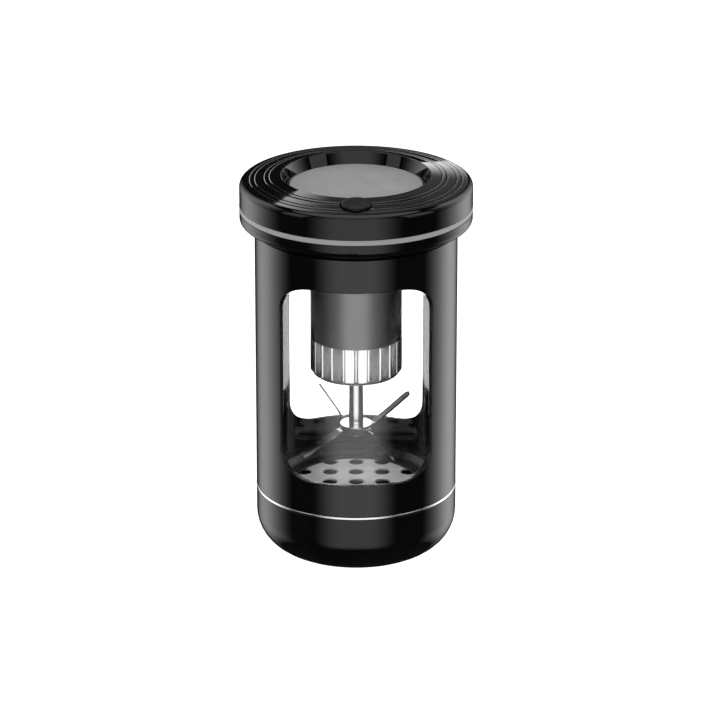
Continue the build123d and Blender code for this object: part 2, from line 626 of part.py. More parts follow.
def blade(hub_low, azimuth, pitch):
    """A pressed strip across the shaft: one arm is bent up at azimuth, the opposite one down.

    pitch turns each arm about its own length, so the strip cuts on its edge.
    """
    middle = hub_low + BLADE_THICK / 2
    with BuildPart() as strip:
        with BuildSketch(Plane.XY.offset(hub_low)):
            Circle(HUB_R)
            SlotOverall(2 * KNEE_R, BLADE_WIDTH, rotation=azimuth)
        extrude(amount=BLADE_THICK)
        for turn, rise, lean in ((0, ARM_UP, pitch), (180, -ARM_DOWN, -pitch)):
            run = BLADE_TIP_R - KNEE_R
            length = (run ** 2 + rise ** 2) ** 0.5
            along = Vector(run, 0, rise).rotate(Axis.Z, azimuth + turn)
            start = Vector(KNEE_R, 0, middle).rotate(Axis.Z, azimuth + turn)
            level = Vector(0, 1, 0).rotate(Axis.Z, azimuth + turn)
            face = along.cross(level).normalized().rotate(Axis(start, along), lean)
            arm_plane = Plane(origin=start, x_dir=along, z_dir=face)
            with BuildSketch(arm_plane.offset(-BLADE_THICK / 2)):
                with Locations((length / 2 - 0.3, 0)):
                    SlotOverall(length + 0.6, BLADE_WIDTH)
            extrude(amount=BLADE_THICK)
        with BuildSketch(Plane.XY.offset(hub_low)):
            Circle(STUD_R + SNUG)
        extrude(amount=BLADE_THICK, mode=Mode.SUBTRACT)
    return strip.part


save(blade(LOWER_BLADE_Z, 35, 0), "lower_blade")
save(blade(UPPER_BLADE_Z, 125, 50), "upper_blade")
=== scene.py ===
"""Looks of the hand-held electric grinder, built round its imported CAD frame.

Metres, in the frame of the CAD part: +Z up the axis that every round part shares, the button faces -Y.
"""

import json
from math import atan2, ceil, cos, hypot, pi, radians, sin, sqrt, tan, tau

import bmesh
import bpy
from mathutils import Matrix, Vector


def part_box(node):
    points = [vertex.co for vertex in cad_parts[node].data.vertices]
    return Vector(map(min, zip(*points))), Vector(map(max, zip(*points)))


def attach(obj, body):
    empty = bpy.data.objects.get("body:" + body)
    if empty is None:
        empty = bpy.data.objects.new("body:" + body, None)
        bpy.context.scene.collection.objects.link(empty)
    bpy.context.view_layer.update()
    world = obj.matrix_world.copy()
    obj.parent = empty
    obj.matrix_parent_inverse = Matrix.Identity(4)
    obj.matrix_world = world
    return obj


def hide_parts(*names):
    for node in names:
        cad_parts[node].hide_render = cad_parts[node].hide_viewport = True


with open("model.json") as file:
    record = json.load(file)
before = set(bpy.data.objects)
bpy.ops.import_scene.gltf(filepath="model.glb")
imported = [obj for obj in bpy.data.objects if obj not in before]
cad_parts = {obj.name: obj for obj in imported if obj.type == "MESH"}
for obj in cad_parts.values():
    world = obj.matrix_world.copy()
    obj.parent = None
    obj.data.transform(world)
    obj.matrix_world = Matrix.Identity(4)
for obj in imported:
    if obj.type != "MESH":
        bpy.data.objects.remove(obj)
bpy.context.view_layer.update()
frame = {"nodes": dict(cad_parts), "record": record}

MM = 0.001
STEPS = 256              # divisions of a round piece
SMALL_STEPS = 96         # the same for the small ones
SHARP_ANGLE = 32         # an edge that turns more than this, in degrees, is shaded sharp
ARC_STEP = radians(9)    # largest turn between two points of a rounded corner

record = frame["record"]
BODY_OF = {node: body for body, nodes in record["behaviour"]["bodies"].items() for node in nodes}
SLOT_OF = {part["node"]: part["material_slot"] for part in record["subparts"]}


# ==== materials ====
def node(tree, kind, **settings):
    """A new shader node with some of its settings or input sockets filled in."""
    made = tree.nodes.new(kind)
    for name, value in settings.items():
        if hasattr(made, name):
            setattr(made, name, value)
        else:
            made.inputs[name.replace("_", " ")].default_value = value
    return made


def noise(tree, vector, scale, detail=2.0):
    """Noise over a surface, about 0.3 to 0.7, with scale in ripples per metre."""
    made = node(tree, "ShaderNodeTexNoise", Scale=scale, Detail=detail)
    tree.links.new(vector, made.inputs["Vector"])
    return made.outputs["Fac"]


def ranged(tree, value, low, high):
    """A noise value of 0.3 to 0.7 spread over low to high."""
    made = node(tree, "ShaderNodeMapRange", From_Min=0.3, From_Max=0.7, To_Min=low, To_Max=high)
    tree.links.new(value, made.inputs["Value"])
    return made.outputs["Result"]


def place(tree, layout):
    """Coordinates on the piece, in metres: as they are, round the axis, or along a strip."""
    source = node(tree, "ShaderNodeTexCoord")
    if layout == "plain":
        return source.outputs["Object"]
    if layout == "strip":
        stretch = node(tree, "ShaderNodeMapping", Scale=(0.04, 1.0, 1.0))
        tree.links.new(source.outputs["UV"], stretch.inputs["Vector"])
        return stretch.outputs["Vector"]
    split = node(tree, "ShaderNodeSeparateXYZ")
    tree.links.new(source.outputs["Object"], split.inputs["Vector"])
    flat = node(tree, "ShaderNodeCombineXYZ")
    tree.links.new(split.outputs["X"], flat.inputs["X"])
    tree.links.new(split.outputs["Y"], flat.inputs["Y"])
    radius = node(tree, "ShaderNodeVectorMath", operation="LENGTH")
    tree.links.new(flat.outputs["Vector"], radius.inputs[0])
    unrolled = node(tree, "ShaderNodeCombineXYZ")
    tree.links.new(radius.outputs["Value"], unrolled.inputs["X"])
    tree.links.new(split.outputs["Z"], unrolled.inputs["Y"])
    return unrolled.outputs["Vector"]


def finish(name, colours, roughness, patch, grain, relief, layout="plain", **sockets):
    """A material whose colour and roughness drift between two values, under a fine relief.

    patch and grain are in ripples per metre, relief is the height of the grain in metres.
    """
    material = bpy.data.materials.new(name)
    material.use_nodes = True
    tree = material.node_tree
    shader = tree.nodes["Principled BSDF"]
    for socket, value in sockets.items():
        shader.inputs[socket.replace("_", " ")].default_value = value
    where = place(tree, "plain")
    mottle = noise(tree, where, patch, 3.0)
    blend = node(tree, "ShaderNodeMix", data_type="RGBA")
    blend.inputs["A"].default_value = (*colours[0], 1.0)
    blend.inputs["B"].default_value = (*colours[1], 1.0)
    tree.links.new(ranged(tree, mottle, 0.0, 1.0), blend.inputs["Factor"])
    tree.links.new(blend.outputs["Result"], shader.inputs["Base Color"])
    lines = noise(tree, place(tree, layout), grain, 4.0)
    both = node(tree, "ShaderNodeMath", operation="ADD")
    tree.links.new(ranged(tree, noise(tree, where, patch * 2.3), roughness[0], roughness[1]), both.inputs[0])
    tree.links.new(ranged(tree, lines, 0.0, 0.15 * roughness[1]), both.inputs[1])
    tree.links.new(both.outputs["Value"], shader.inputs["Roughness"])
    bump = node(tree, "ShaderNodeBump", Strength=1.0, Distance=relief)
    tree.links.new(lines, bump.inputs["Height"])
    tree.links.new(bump.outputs["Normal"], shader.inputs["Normal"])
    return material


def grey(level, warm=0.0):
    """A grey of that level, with more red and less blue where it is warm."""
    return (level * (1 + warm), level, level * (1 - warm))


MICRON = 1e-6
CLEAR_IOR = 1.49
materials = {
    "shell_black": finish("shell_black", (grey(0.001), grey(0.002)), (0.05, 0.09), 60, 900, 0.05 * MICRON,
                          IOR=1.5),
    "lid_black": finish("lid_black", (grey(0.001), grey(0.002)), (0.03, 0.06), 70, 900, 0.05 * MICRON,
                        IOR=1.42),
    "button_black": finish("button_black", (grey(0.002), grey(0.004)), (0.12, 0.16), 200, 1500, 0.3 * MICRON,
                           IOR=1.28),
    "band_grey": finish("band_grey", (grey(0.25), grey(0.28)), (0.38, 0.48), 120, 9000, 2 * MICRON, IOR=1.45),
    "badge_grey": finish("badge_grey", (grey(0.27), grey(0.30)), (0.42, 0.52), 150, 12000, 2 * MICRON,
                         IOR=1.45),
    "polished_steel": finish("polished_steel", (grey(0.82), grey(0.90)), (0.10, 0.18), 150, 2500,
                             0.8 * MICRON, Metallic=1.0),
    "blade_steel": finish("blade_steel", (grey(0.20), grey(0.28)), (0.12, 0.20), 300, 7000, 2 * MICRON,
                          layout="strip", Metallic=1.0),
    "collar_metal": finish("collar_metal", (grey(0.84), grey(0.92)), (0.16, 0.22), 200, 4000, 1 * MICRON,
                           layout="round", Metallic=1.0),
    "housing_grey": finish("housing_grey", (grey(0.14), grey(0.15)), (0.20, 0.24), 60, 900, 0.05 * MICRON,
                           Metallic=1.0),
    "sieve_steel": finish("sieve_steel", (grey(0.97), grey(1.0)), (0.70, 0.78), 150, 6000, 0.5 * MICRON,
                          Metallic=1.0),
    "insert_black": finish("insert_black", (grey(0.006), grey(0.012)), (0.22, 0.32), 120, 5000, 2 * MICRON),
    "seal_rubber": finish("seal_rubber", (grey(0.010), grey(0.020)), (0.60, 0.75), 200, 6000, 6 * MICRON),
    "can_steel": finish("can_steel", (grey(0.42), grey(0.55)), (0.22, 0.34), 150, 6000, 3 * MICRON,
                        layout="round", Metallic=1.0),
    "bearing_brass": finish("bearing_brass", ((0.55, 0.36, 0.14), (0.68, 0.46, 0.20)), (0.30, 0.42), 400,
                            9000, 5 * MICRON, Metallic=1.0),
    "rotor_iron": finish("rotor_iron", (grey(0.10, 0.12), grey(0.22, 0.15)), (0.40, 0.60), 300, 7000,
                         8 * MICRON, layout="round", Metallic=0.8),
    "board_green": finish("board_green", ((0.010, 0.085, 0.035), (0.016, 0.125, 0.055)), (0.28, 0.40), 250,
                          5000, 5 * MICRON),
    "cell_wrap": finish("cell_wrap", ((0.42, 0.45, 0.50), (0.52, 0.55, 0.60)), (0.25, 0.40), 120, 900,
                        30 * MICRON),
    "lead_red": finish("lead_red", ((0.38, 0.012, 0.010), (0.48, 0.022, 0.016)), (0.35, 0.45), 300, 5000,
                       6 * MICRON),
    "clear_wall": finish("clear_wall", (grey(0.985), grey(1.0)), (0.0, 0.0), 40, 30, 0.02 * MICRON,
                         IOR=CLEAR_IOR, Transmission_Weight=1.0),
}
for name, cad in frame["nodes"].items():
    for material_slot in cad.material_slots:
        material_slot.material = materials[SLOT_OF[name]]


# ==== mesh helpers ====
def rounded(corners):
    """The points of a closed outline of (radius, height, rounding) corners, roundings drawn as arcs."""
    points = []
    for i, (x, z, rounding) in enumerate(corners):
        here = Vector((x, z))
        if not rounding:
            points.append(here)
            continue
        before = (Vector(corners[i - 1][:2]) - here).normalized()
        after = (Vector(corners[(i + 1) % len(corners)][:2]) - here).normalized()
        half = before.angle(after) / 2
        middle = here + (before + after).normalized() * rounding / sin(half)
        first = here + before * rounding / tan(half) - middle
        last = here + after * rounding / tan(half) - middle
        turn = atan2(first.x * last.y - first.y * last.x, first.dot(last))
        steps = max(2, ceil(abs(turn) / ARC_STEP))
        for k in range(steps + 1):
            a = turn * k / steps
            points.append(middle + Vector((first.x * cos(a) - first.y * sin(a),
                                           first.x * sin(a) + first.y * cos(a))))
    return points


def ease(value):
    """0 to 1, clamped, with a gentle start and end."""
    value = min(1.0, max(0.0, value))
    return value * value * (3 - 2 * value)


def turned(corners, steps=STEPS, swell=None):
    """The solid that a closed outline of (radius, height, rounding) corners makes round the axis.

    swell(angle, radius, height) gives the radius where the piece isn't round.
    """
    outline = rounded(corners)
    mesh = bmesh.new()
    poles = {i: mesh.verts.new((0, 0, p.y)) for i, p in enumerate(outline) if p.x < MM / 1000}
    columns = []
    for s in range(steps):
        angle = tau * s / steps
        column = []
        for i, p in enumerate(outline):
            if i in poles:
                column.append(poles[i])
            else:
                radius = swell(angle, p.x, p.y) if swell else p.x
                column.append(mesh.verts.new((radius * cos(angle), radius * sin(angle), p.y)))
        columns.append(column)
    for here, there in zip(columns, columns[1:] + columns[:1]):
        for i in range(len(outline)):
            j = (i + 1) % len(outline)
            corners_used = list(dict.fromkeys((here[i], there[i], there[j], here[j])))
            if len(corners_used) > 2:
                mesh.faces.new(corners_used)
    return mesh


def bridged(mesh, loops, closed=True):
    """Join rings of the same number of points with quads."""
    rings = [[mesh.verts.new(p) for p in loop] for loop in loops]
    for near, far in zip(rings, rings[1:]):
        count = len(near) if closed else len(near) - 1
        for i in range(count):
            j = (i + 1) % len(near)
            mesh.faces.new((near[i], near[j], far[j], far[i]))
    return rings


def piece(name, mesh, *nodes, sharp=SHARP_ANGLE, even=True):
    """Make a mesh into a piece that stands for some CAD nodes and takes the body and finish of the first."""
    bmesh.ops.recalc_face_normals(mesh, faces=mesh.faces)
    data = bpy.data.meshes.new(name)
    mesh.to_mesh(data)
    mesh.free()
    data.shade_smooth()
    data.set_sharp_from_angle(angle=radians(sharp))
    made = bpy.data.objects.new(name, data)
    bpy.context.scene.collection.objects.link(made)
    data.materials.append(materials[SLOT_OF[nodes[0]]])
    if even:
        weighted = made.modifiers.new("even_normals", "WEIGHTED_NORMAL")
        weighted.keep_sharp = True
    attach(made, BODY_OF[nodes[0]])
    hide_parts(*nodes)
    return made


def solid_from_curve(circles, thickness, bevel):
    """A flat plate from circles of (x, y, radius), the first one its outline and the rest its holes."""
    curve = bpy.data.curves.new("plate", "CURVE")
    curve.dimensions = "2D"
    curve.fill_mode = "BOTH"
    curve.resolution_u = 16
    curve.extrude = thickness / 2 - bevel
    curve.bevel_depth = bevel
    curve.bevel_resolution = 1
    curve.offset = -bevel
    for x, y, radius in circles:
        spline = curve.splines.new("BEZIER")
        spline.bezier_points.add(3)
        spline.use_cyclic_u = True
        reach = radius * 4 / 3 * (sqrt(2) - 1)
        for k, point in enumerate(spline.bezier_points):
            a = k * pi / 2
            middle = Vector((x + radius * cos(a), y + radius * sin(a), 0))
            along = Vector((-sin(a), cos(a), 0)) * reach
            point.co, point.handle_left, point.handle_right = middle, middle - along, middle + along
            point.handle_left_type = point.handle_right_type = "FREE"
    holder = bpy.data.objects.new("plate", curve)
    bpy.context.scene.collection.objects.link(holder)
    graph = bpy.context.evaluated_depsgraph_get()
    flat = bpy.data.meshes.new_from_object(holder.evaluated_get(graph), depsgraph=graph)
    mesh = bmesh.new()
    mesh.from_mesh(flat)
    bpy.data.objects.remove(holder)
    bmesh.ops.remove_doubles(mesh, verts=mesh.verts, dist=MM / 1000)
    return mesh


# ==== places, all read from the CAD frame ====
cup_low, cup_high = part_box("base_cup")
_, pad_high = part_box("foot_pad")
trim_low, trim_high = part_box("trim_ring")
shell_low, shell_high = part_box("body_shell")
glass_low, glass_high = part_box("glass_tube")
seal_low, seal_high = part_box("base_seal")
_, lid_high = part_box("lid_cover")
base_low, base_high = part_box("lid_base")
band_low, band_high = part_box("accent_ring")
badge_low, badge_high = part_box("badge_disc")
button_low, button_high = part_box("button_cap")
_, housing_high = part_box("motor_housing")
collar_low, collar_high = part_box("fluted_collar")
holder_low, holder_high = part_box("sieve_holder")
plate_low, plate_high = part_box("sieve_plate")
shaft_low, shaft_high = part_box("drive_shaft")
washer_low, washer_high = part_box("blade_washer")
nut_low, nut_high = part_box("blade_nut")
TUBE_R = shell_high.x
LID_R = base_high.x
NECK_R = holder_high.x

# ==== catch cup ====
CUP_CORNER = 11.2 * MM
CUP_BORE_R = 23.2 * MM
CUP_FLOOR = 2.4 * MM
CUP_INNER_CORNER = 9 * MM
SEAM_ROUND = 0.2 * MM
SEAL_SEAT_R = seal_high.x - 0.9 * MM
FINE = 0.12 * MM         # the smallest rounding of a moulded edge
piece("catch_cup", turned([
    (0, CUP_FLOOR, 0), (0, pad_high.z, 0), (pad_high.x + FINE, pad_high.z, 0),
    (pad_high.x + FINE, cup_low.z, FINE), (TUBE_R, cup_low.z, CUP_CORNER),
    (TUBE_R, trim_low.z, FINE), (NECK_R, trim_low.z, 0),
    (NECK_R, seal_low.z, FINE), (SEAL_SEAT_R, seal_low.z, 0), (SEAL_SEAT_R, seal_high.z, 0),
    (NECK_R, seal_high.z, FINE), (NECK_R, cup_high.z, FINE), (CUP_BORE_R, cup_high.z, FINE),
    (CUP_BORE_R, CUP_FLOOR, CUP_INNER_CORNER)]), "base_cup")
piece("seam_ring", turned([
    (trim_high.x, trim_low.z, SEAM_ROUND), (trim_high.x, trim_high.z, SEAM_ROUND),
    (NECK_R + FINE, trim_high.z, 0), (NECK_R + FINE, trim_low.z, 0)]), "trim_ring")

# ==== sieve ====
SIEVE_PITCH = 7.55 * MM
SIEVE_HOLE_R = 2.18 * MM
SIEVE_ROWS = 2
SIGHT_R = 17.5 * MM      # the hole in the holder that the plate shows through
PLATE_EDGE = 0.06 * MM
DISH_FOOT = (20.8 * MM, 19.6 * MM)       # radius and height where the dish turns up
DISH_RIM_R = 22.7 * MM
plate_r = plate_high.x
plate_thick = plate_high.z - plate_low.z
holes = [(i * SIEVE_PITCH, j * SIEVE_PITCH, SIEVE_HOLE_R)
         for i in range(-SIEVE_ROWS, SIEVE_ROWS + 1) for j in range(-SIEVE_ROWS, SIEVE_ROWS + 1)
         if i ** 2 + j ** 2 < 2 * SIEVE_ROWS ** 2]
plate = solid_from_curve([(0, 0, plate_r)] + holes, plate_thick, PLATE_EDGE)
bmesh.ops.translate(plate, verts=plate.verts, vec=(0, 0, (plate_low.z + plate_high.z) / 2))
piece("sieve_screen", plate, "sieve_plate", even=False)
HOLDER_R = NECK_R - 2.1 * MM
SEAT_R = plate_r + 0.1 * MM
piece("sieve_frame", turned([
    (SIGHT_R, plate_high.z, 0), (SIGHT_R, plate_high.z + 0.35 * MM, FINE), (*DISH_FOOT, 2 * MM),
    (DISH_RIM_R, holder_high.z, 0.5 * MM), (NECK_R, holder_high.z, 0.2 * MM), (NECK_R, cup_high.z, FINE),
    (HOLDER_R, cup_high.z, 0), (HOLDER_R, holder_low.z, FINE), (SEAT_R, holder_low.z, FINE),
    (SEAT_R, plate_high.z, 0)]), "sieve_holder")

# ==== jar: shell with its two windows ====
BORE_R = glass_high.x + 0.1 * MM
WINDOW_LOW = 28.9 * MM
WINDOW_HIGH = 86.0 * MM
WINDOW_HALF = 21.3 * MM
WINDOW_CORNER = (11.5 * MM, 8.2 * MM)    # along the wall and up it
EDGE = 0.25 * MM         # rounding of the windows' edges
TOP_CHAMFER = 0.5 * MM
LOW_CHAMFER = 0.2 * MM
FRONT = -pi / 2
window_angle = atan2(WINDOW_HALF, sqrt(TUBE_R ** 2 - WINDOW_HALF ** 2))


def window_columns(grow):
    """Half of a window's outline, as (angle from its middle, distance in from its top and bottom edge)."""
    wide, tall = WINDOW_CORNER[0] + grow, WINDOW_CORNER[1] + grow
    straight = window_angle - WINDOW_CORNER[0] / TUBE_R
    steps = 24
    columns = [(straight * k / steps, 0.0) for k in range(steps)]
    steps = 20
    for k in range(steps + 1):
        t = pi / 2 * k / steps
        columns.append((straight + wide / TUBE_R * sin(t), tall * (1 - cos(t))))
    return columns


def on_wall(angle, radius, height):
    """The point at that angle on a round wall."""
    return Vector((radius * cos(angle), radius * sin(angle), height))


def window_edge(middle, grow, radius):
    """A closed ring of points round one window, grown by a distance, at a radius."""
    half = window_columns(grow)
    low, high = WINDOW_LOW - grow, WINDOW_HIGH + grow
    right_up = [(a, low + inset) for a, inset in half] + [(a, high - inset) for a, inset in reversed(half)]
    left_down = [(-a, z) for a, z in reversed(right_up)]
    return [on_wall(middle + a, radius, z) for a, z in right_up + left_down]


def windowed_shell():
    """A tube with a rounded window cut through its front and its back."""
    mesh = bmesh.new()
    half = window_columns(EDGE)
    side_from, side_to = half[-1][0], pi - half[-1][0]
    side_steps = 56
    quarter = [(FRONT + a, inset) for a, inset in half]
    quarter += [(FRONT + side_from + (side_to - side_from) * k / side_steps, None)
                for k in range(1, side_steps)]
    quarter += [(FRONT + pi - a, inset) for a, inset in reversed(half)][:-1]
    around = quarter + [(angle + pi, inset) for angle, inset in quarter]
    deepest = half[-1][1]
    low, high = WINDOW_LOW - EDGE, WINDOW_HIGH + EDGE
    rows = []
    for radius, foot, head in ((TUBE_R, shell_low.z + LOW_CHAMFER, shell_high.z - TOP_CHAMFER),
                               (BORE_R, shell_low.z, shell_high.z)):
        side = []
        for angle, inset in around:
            inset = deepest if inset is None else inset
            side.append([mesh.verts.new(on_wall(angle, radius, z))
                         for z in (foot, low + inset, high - inset, head)])
        rows.append(side)
        for i, here in enumerate(side):
            there = side[(i + 1) % len(side)]
            solid = around[i][1] is None or around[(i + 1) % len(side)][1] is None
            for k in (0, 1, 2) if solid else (0, 2):
                mesh.faces.new((here[k], there[k], there[k + 1], here[k + 1]))
    for k, radius, height in ((0, TUBE_R - LOW_CHAMFER, shell_low.z),
                              (3, TUBE_R - TOP_CHAMFER, shell_high.z)):
        rim = [mesh.verts.new(on_wall(angle, radius, height)) for angle, _ in around]
        for i in range(len(around)):
            j = (i + 1) % len(around)
            mesh.faces.new((rows[0][i][k], rows[0][j][k], rim[j], rim[i]))
            mesh.faces.new((rim[i], rim[j], rows[1][j][k], rows[1][i][k]))
    turns = [radians(90) * k / 4 for k in range(5)]
    section = [(EDGE * (1 - sin(t)), TUBE_R - EDGE * (1 - cos(t))) for t in turns]
    section += [(EDGE * (1 - sin(t)), BORE_R + EDGE * (1 - cos(t))) for t in reversed(turns)]
    for middle in (FRONT, FRONT + pi):
        bridged(mesh, [window_edge(middle, grow, radius) for grow, radius in section])
    bmesh.ops.remove_doubles(mesh, verts=mesh.verts, dist=MM / 10000)
    return mesh


def true_round(made, radii, slack=0.02 * MM):
    """Give the faces that lie on a round wall the exact normals of that wall."""
    mesh = made.data
    normals = [Vector(corner.vector) for corner in mesh.corner_normals]
    for face in mesh.polygons:
        if abs(face.normal.z) > 0.01:
            continue
        spots = [mesh.vertices[v].co for v in face.vertices]
        if all(min(abs(hypot(p.x, p.y) - r) for r in radii) < slack for p in spots):
            outward = 1 if face.normal.dot(Vector((face.center.x, face.center.y, 0))) > 0 else -1
            for corner in face.loop_indices:
                p = mesh.vertices[mesh.loops[corner].vertex_index].co
                normals[corner] = Vector((p.x, p.y, 0)).normalized() * outward
    mesh.normals_split_custom_set(normals)


shell = piece("jar_shell", windowed_shell(), "body_shell", even=False)
true_round(shell, (TUBE_R, BORE_R))

GLASS_BORE_R = glass_high.x - 1.65 * MM
GLASS_ROUND = 0.2 * MM
tube = piece("clear_tube", turned([
    (glass_high.x, glass_low.z, GLASS_ROUND), (glass_high.x, glass_high.z, GLASS_ROUND),
    (GLASS_BORE_R, glass_high.z, GLASS_ROUND), (GLASS_BORE_R, glass_low.z, GLASS_ROUND)]), "glass_tube")
tube.visible_shadow = False

# ==== lid ====
RIM_ROUND = 1.9 * MM
LIP_R = 20.9 * MM
RECESS_R = 19.2 * MM
TONGUE_R = -base_low.x - 1.6 * MM
TONGUE_BORE_R = 29.9 * MM
TONGUE_FOOT = base_high.z - 2.1 * MM
LID_WALL = 1.5 * MM
RIM_DROP = 1.5 * MM      # from the crown to the outer rim
GROOVES = (24.1 * MM, 25.5 * MM, 28.15 * MM, 29.6 * MM)
GROOVE_HALF = 0.34 * MM
GROOVE_DEEP = 0.08 * MM
BUTTON_BORE_R = 4.42 * MM
BORE_EDGE = 0.08 * MM
BORE_BELOW = 5 * MM      # how far the tool that cuts the bore reaches below the slope, and above it
BORE_ABOVE = 3 * MM
crown = lid_high.z
rim_top = crown - RIM_DROP
slope = (crown - rim_top) / (LID_R - RIM_ROUND - LIP_R)
button_y = (button_low.y + button_high.y) / 2


def sloped(radius):
    """Height of the lid's sloped top."""
    return crown - slope * (radius - LIP_R)


def lid_outline():
    """The lid cover's outline, with the four shallow grooves of its sloped top."""
    top = [(LID_R, band_high.z, FINE), (LID_R, rim_top - RIM_ROUND, 0)]
    for k in range(1, 9):
        t = radians(90) * k / 9
        top.append((LID_R - RIM_ROUND * (1 - cos(t)), rim_top - RIM_ROUND * (1 - sin(t)), 0))
    top.append((LID_R - RIM_ROUND, rim_top, FINE))
    for middle in reversed(GROOVES):
        for k in range(-4, 5):
            radius = middle - GROOVE_HALF * k / 4
            top.append((radius, sloped(radius) - GROOVE_DEEP * (1 + cos(pi * k / 4)) / 2, 0))
    top += [(LIP_R, crown, 0.25 * MM), (RECESS_R + 0.3 * MM, badge_high.z - 0.3 * MM, 0),
            (RECESS_R, badge_low.z, 0), (0, badge_low.z, 0), (0, badge_low.z - LID_WALL, 0),
            (RECESS_R + LID_WALL, badge_low.z - LID_WALL, 0), (LIP_R + LID_WALL, crown - 2 * LID_WALL, 0),
            (LID_R - RIM_ROUND - 0.6 * MM, rim_top - LID_WALL, 0),
            (TONGUE_BORE_R, rim_top - RIM_ROUND - MM, 0), (TONGUE_BORE_R, TONGUE_FOOT, FINE),
            (TONGUE_R, TONGUE_FOOT, FINE), (TONGUE_R, band_high.z, 0)]
    return top


def cut(made, cutter_mesh):
    """Cut a mesh out of a piece and keep the result as its mesh."""
    bmesh.ops.recalc_face_normals(cutter_mesh, faces=cutter_mesh.faces)
    data = bpy.data.meshes.new("cutter")
    cutter_mesh.to_mesh(data)
    cutter_mesh.free()
    cutter = bpy.data.objects.new("cutter", data)
    bpy.context.scene.collection.objects.link(cutter)
    boolean = made.modifiers.new("cut", "BOOLEAN")
    boolean.operation, boolean.object, boolean.solver = "DIFFERENCE", cutter, "EXACT"
    made.modifiers.move(len(made.modifiers) - 1, 0)
    graph = bpy.context.evaluated_depsgraph_get()
    weighted = made.modifiers.get("even_normals")
    weighted.show_viewport = False
    result = bpy.data.meshes.new_from_object(made.evaluated_get(graph), depsgraph=graph)
    weighted.show_viewport = True
    made.modifiers.remove(boolean)
    made.data = result
    bpy.data.objects.remove(cutter)
    result.shade_smooth()
    result.set_sharp_from_angle(angle=radians(SHARP_ANGLE))


cover = piece("lid_cover_top", turned(lid_outline()), "lid_cover")
bore = turned([(0, -BORE_BELOW, 0), (0, BORE_ABOVE, 0), (BUTTON_BORE_R + BORE_ABOVE, BORE_ABOVE, 0),
               (BUTTON_BORE_R + BORE_EDGE, 0, 0), (BUTTON_BORE_R, -BORE_EDGE, 0),
               (BUTTON_BORE_R, -BORE_BELOW, 0)], steps=SMALL_STEPS)
for vert in bore.verts:
    vert.co.z += sloped(-button_y) + (vert.co.y * slope if vert.co.z > -MM else 0)
    vert.co.y += button_y
cut(cover, bore)

piece("lid_band", turned([
    (band_high.x, band_low.z, 0.45 * MM), (band_high.x, band_high.z, 0.2 * MM),
    (TONGUE_R + 0.05 * MM, band_high.z, 0), (TONGUE_R + 0.05 * MM, band_low.z, 0)]), "accent_ring")
piece("badge_plate", turned([
    (badge_high.x, badge_low.z, 0), (badge_high.x, badge_high.z, 0.25 * MM), (0, badge_high.z, 0),
    (0, badge_low.z, 0)]), "badge_disc")

# ==== button: a low disc that follows the lid's slope ====
BUTTON_PROUD = 0.42 * MM
BUTTON_DISH = 0.03 * MM
BUTTON_LEAN = 0.8        # of the lid's slope
CAP_TALL = 4 * MM
button_r = (button_high.y - button_low.y) / 2
cap = turned([
    (0, 0, 0), (button_r, 0, 0), (button_r, CAP_TALL, 0.12 * MM),
    (button_r - 0.9 * MM, CAP_TALL, 0.5 * MM), (button_r * 0.5, CAP_TALL - BUTTON_DISH * 0.75, 3 * MM),
    (0, CAP_TALL - BUTTON_DISH, 0)], steps=SMALL_STEPS)
button_top = sloped(-button_y) + BUTTON_PROUD
for vert in cap.verts:
    if vert.co.z > MM:
        vert.co.z += button_top - CAP_TALL + vert.co.y * slope * BUTTON_LEAN
    else:
        vert.co.z += button_low.z
    vert.co.y += button_y
piece("push_button", cap, "button_cap")

# ==== motor housing and its fluted collar ====
HOUSING_R = collar_high.x
UPPER_BORE_R = 11.85 * MM                # above the partition, and below it
LOWER_BORE_R = 11.6 * MM
PARTITION_LOW = 64.4 * MM
PARTITION_HIGH = 66.0 * MM
PARTITION_HOLE_R = 3.3 * MM
piece("motor_sleeve", turned([
    (HOUSING_R, collar_high.z, 0.15 * MM), (HOUSING_R, shell_high.z, 0), (housing_high.x, shell_high.z, FINE),
    (housing_high.x, housing_high.z, 0), (UPPER_BORE_R, housing_high.z, 0), (UPPER_BORE_R, PARTITION_HIGH, 0),
    (PARTITION_HOLE_R, PARTITION_HIGH, 0), (PARTITION_HOLE_R, PARTITION_LOW, 0),
    (LOWER_BORE_R, PARTITION_LOW, 0), (LOWER_BORE_R, collar_high.z, FINE)]), "motor_housing")

FLUTES = 22
FLAT_R = HOUSING_R - 0.42 * MM
RIB_HALF = 0.6 * MM
RIB_RISE = 0.34 * MM
RIBS_FROM = 0.4 * MM     # above the collar's lower face, and over what height they rise out of it
RIBS_OVER = 1.4 * MM
COLLAR_ROUND = 1.4 * MM
COLLAR_PLAIN = 1.9 * MM  # height of the part that turns in
COLLAR_PLATE = 1.5 * MM
COLLAR_BORE_R = 11.65 * MM
SHAFT_HOLE_R = 4.05 * MM


def fluted(angle, radius, height):
    """Flats between small upright ribs, one rib at the front, dying out into a round lower edge."""
    if radius < HOUSING_R - 2 * MM:
        return radius
    step = tau / FLUTES
    from_rib = (angle - FRONT + step / 2) % step - step / 2
    from_flat = step / 2 - abs(from_rib)
    flat = FLAT_R / cos(from_flat)
    across = abs(from_rib) * FLAT_R
    rib = RIB_RISE * sqrt(max(0.0, 1 - (across / RIB_HALF) ** 2)) if across < RIB_HALF else 0.0
    share = ease((height - collar_low.z - RIBS_FROM) / RIBS_OVER)
    return radius * (FLAT_R * (1 - share) + (flat + rib) * share) / HOUSING_R


